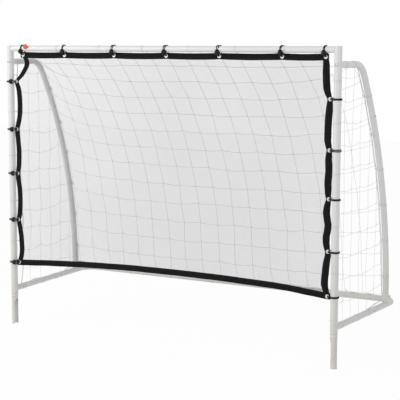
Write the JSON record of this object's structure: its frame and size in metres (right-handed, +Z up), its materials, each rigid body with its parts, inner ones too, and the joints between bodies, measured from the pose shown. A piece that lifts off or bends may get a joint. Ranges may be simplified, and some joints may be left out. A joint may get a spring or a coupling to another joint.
{
  "type": "pitch back rebounder",
  "caption": "Goal-shaped steel rebounder: an elastic mesh panel on ball ties in a splayed tube frame with ground spikes, and a net over its roof, back and sides.",
  "frame": {"origin": "on the floor plane through the spike tips, in the middle of the overall box seen from above", "axes": "+X to the right of someone facing the panel, +Y back through the goal from the panel to the rear bar, +Z up"},
  "size_m": [1.877, 0.7594, 1.4451],
  "materials": {
    "white_powder_coat": "satin white powder coat on steel tube",
    "white_plastic": "moulded, satin",
    "zinc_steel": "bright zinc plate",
    "spring_steel": "tempered, oiled",
    "panel_mesh": "fine dark knitted mesh, see-through",
    "webbing": "woven polyester webbing, black",
    "nickel": "bright nickel plate",
    "elastic_cord": "braided cover, black",
    "ball_plastic": "moulded, semi-gloss black",
    "red_plastic": "plain red sheet",
    "net_twine": "knotted white twine"
  },
  "bodies": {
    "frame": {"left_post": "white_powder_coat", "right_post": "white_powder_coat", "crossbar_left": "white_powder_coat", "crossbar_right": "white_powder_coat", "left_arm": "white_powder_coat", "right_arm": "white_powder_coat", "left_side_tube": "white_powder_coat", "right_side_tube": "white_powder_coat", "left_rail_front": "white_powder_coat", "right_rail_front": "white_powder_coat", "left_rail_corner": "white_powder_coat", "right_rail_corner": "white_powder_coat", "rear_bar_left": "white_powder_coat", "rear_bar_right": "white_powder_coat", "left_spike": "white_powder_coat", "right_spike": "white_powder_coat", "post_caps": "white_plastic", "arm_saddles": "white_plastic", "arm_inserts": "zinc_steel", "arm_bolts": "zinc_steel", "arm_washers": "zinc_steel", "frame_screws": "zinc_steel", "crossbar_spring": "spring_steel", "crossbar_spring_left": "spring_steel", "crossbar_spring_right": "spring_steel", "rear_bar_spring": "spring_steel", "side_spring_left": "spring_steel", "side_spring_right": "spring_steel", "rail_spring_left": "spring_steel", "rail_spring_right": "spring_steel", "rebound_mesh": "panel_mesh", "webbing_top": "webbing", "webbing_bottom": "webbing", "webbing_left": "webbing", "webbing_right": "webbing", "grommets": "nickel", "bungee_cords": "elastic_cord", "bungee_balls": "ball_plastic", "red_tab": "red_plastic", "back_net": "net_twine", "side_net_left": "net_twine", "side_net_right": "net_twine", "net_ties": "net_twine"},
    "crossbar_button": {"crossbar_button": "zinc_steel"},
    "crossbar_button_left": {"crossbar_button_left": "zinc_steel"},
    "crossbar_button_right": {"crossbar_button_right": "zinc_steel"},
    "rear_bar_button": {"rear_bar_button": "zinc_steel"},
    "side_button_left": {"side_button_left": "zinc_steel"},
    "side_button_right": {"side_button_right": "zinc_steel"},
    "rail_button_left": {"rail_button_left": "zinc_steel"},
    "rail_button_right": {"rail_button_right": "zinc_steel"}
  },
  "joints": [
    {"name": "crossbar_button_press", "type": "slide", "parent": "frame", "child": "crossbar_button", "axis": [0, -1, 0], "range_m": [0, 0.005], "stiffness_N_per_m": 2500, "springref_m": -0.001, "deforming": ["crossbar_spring"]},
    {"name": "crossbar_button_left_press", "type": "slide", "parent": "frame", "child": "crossbar_button_left", "axis": [0, -1, 0], "range_m": [0, 0.005], "stiffness_N_per_m": 2500, "springref_m": -0.001, "deforming": ["crossbar_spring_left"]},
    {"name": "crossbar_button_right_press", "type": "slide", "parent": "frame", "child": "crossbar_button_right", "axis": [0, -1, 0], "range_m": [0, 0.005], "stiffness_N_per_m": 2500, "springref_m": -0.001, "deforming": ["crossbar_spring_right"]},
    {"name": "rear_bar_button_press", "type": "slide", "parent": "frame", "child": "rear_bar_button", "axis": [0, -1, 0], "range_m": [0, 0.005], "stiffness_N_per_m": 2500, "springref_m": -0.001, "deforming": ["rear_bar_spring"]},
    {"name": "side_button_left_press", "type": "slide", "parent": "frame", "child": "side_button_left", "axis": [-0.999, -0.0436, 0], "range_m": [0, 0.005], "stiffness_N_per_m": 2500, "springref_m": -0.001, "deforming": ["side_spring_left"]},
    {"name": "side_button_right_press", "type": "slide", "parent": "frame", "child": "side_button_right", "axis": [-0.999, 0.0436, 0], "range_m": [0, 0.005], "stiffness_N_per_m": 2500, "springref_m": -0.001, "deforming": ["side_spring_right"]},
    {"name": "rail_button_left_press", "type": "slide", "parent": "frame", "child": "rail_button_left", "axis": [-0.999, -0.0436, 0], "range_m": [0, 0.005], "stiffness_N_per_m": 2500, "springref_m": -0.001, "deforming": ["rail_spring_left"]},
    {"name": "rail_button_right_press", "type": "slide", "parent": "frame", "child": "rail_button_right", "axis": [-0.999, 0.0436, 0], "range_m": [0, 0.005], "stiffness_N_per_m": 2500, "springref_m": -0.001, "deforming": ["rail_spring_right"]}
  ]
}
